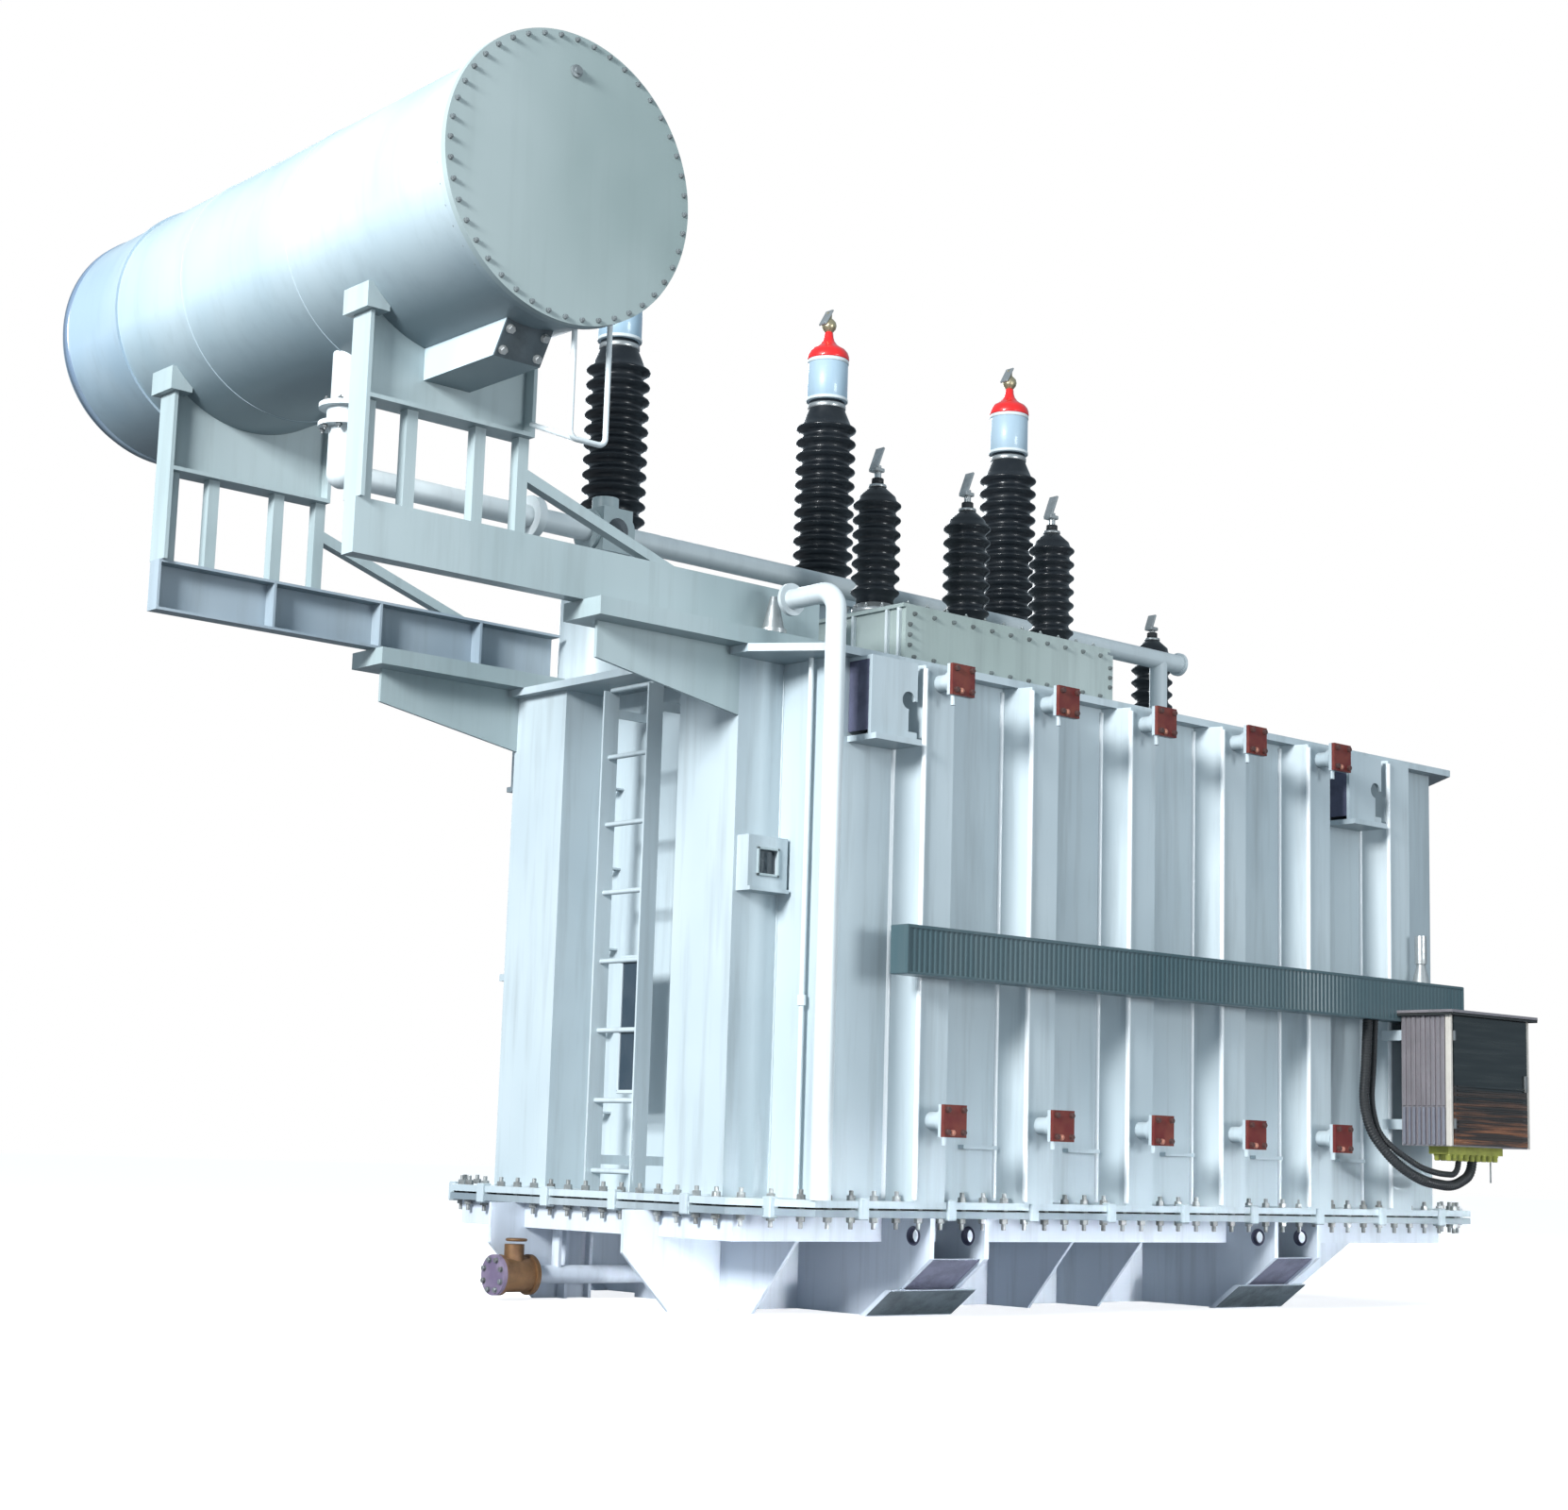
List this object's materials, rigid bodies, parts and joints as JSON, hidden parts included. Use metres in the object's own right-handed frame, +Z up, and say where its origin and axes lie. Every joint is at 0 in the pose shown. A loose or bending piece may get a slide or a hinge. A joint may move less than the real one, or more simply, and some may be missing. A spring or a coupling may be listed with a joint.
{
  "type": "power transformer",
  "caption": "Oil-filled power transformer with ribbed tank, conservator on cantilever beams, shed bushings, ladder and cabinet, radiators removed.",
  "frame": {"origin": "on the ground under the middle of the tank", "axes": "+X along the tank away from the ladder and conservator, +Z up; the side with the cabinet faces -Y"},
  "size_m": [8.323, 4.045, 6.1],
  "materials": {
    "tank_paint": "satin grey-blue enamel",
    "lug_steel": "satin dark grey enamel",
    "frame_paint": "satin grey enamel",
    "drum_paint": "satin grey-blue enamel",
    "cover_paint": "satin grey enamel, slightly weathered",
    "pipe_paint": "satin pale grey enamel",
    "relay_paint": "satin grey enamel on a cast body",
    "valve_bronze": "dull brown bronze",
    "packing_rubber": "matte black",
    "blank_red": "red-brown primer",
    "blank_violet": "dull violet-grey primer",
    "turret_paint": "satin grey-green enamel",
    "porcelain": "gloss dark glaze",
    "cap_paint": "satin blue-grey enamel",
    "tray_paint": "satin dark teal enamel",
    "cabinet_steel": "brushed, slightly reflective",
    "gland_brass": "yellowed, dull",
    "conduit_rubber": "matte ribbed black",
    "fitting_steel": "dull zinc grey"
  },
  "bodies": {
    "root": {"base_gussets": "tank_paint", "base_skid": "tank_paint", "beam_brackets": "tank_paint", "blanking_plates": "blank_red", "cabinet_conduits": "conduit_rubber", "cable_tray": "tray_paint", "conservator_beam_front": "frame_paint", "conservator_beam_rear": "frame_paint", "conservator_cover": "cover_paint", "conservator_dished_end": "drum_paint", "conservator_saddles": "frame_paint", "conservator_shell": "drum_paint", "conservator_sump": "drum_paint", "conservator_valve": "valve_bronze", "control_cabinet": "cabinet_steel", "corner_pipe": "pipe_paint", "drain_blank": "blank_violet", "drain_pipe": "pipe_paint", "drain_valve": "valve_bronze", "end_pilasters": "tank_paint", "flange_packing": "packing_rubber", "gas_relay": "relay_paint", "gauge_box": "tank_paint", "gland_plate": "gland_brass", "hauling_lugs": "lug_steel", "header_pipe": "pipe_paint", "hv_bushing_heads": "cap_paint", "hv_bushings": "porcelain", "hv_turrets": "turret_paint", "ladder": "tank_paint", "lifting_hooks": "tank_paint", "lower_flange": "tank_paint", "lower_tray": "tank_paint", "lv_bushings": "porcelain", "lv_turret_box": "turret_paint", "neutral_bushing": "porcelain", "radiator_valves": "tank_paint", "saddle_braces": "frame_paint", "side_brackets": "tank_paint", "sight_pipes": "pipe_paint", "tank_cover": "tank_paint", "tank_flange": "tank_paint", "tank_ribs": "tank_paint", "tank_shell": "tank_paint", "top_fittings": "fitting_steel"}
  },
  "joints": []
}
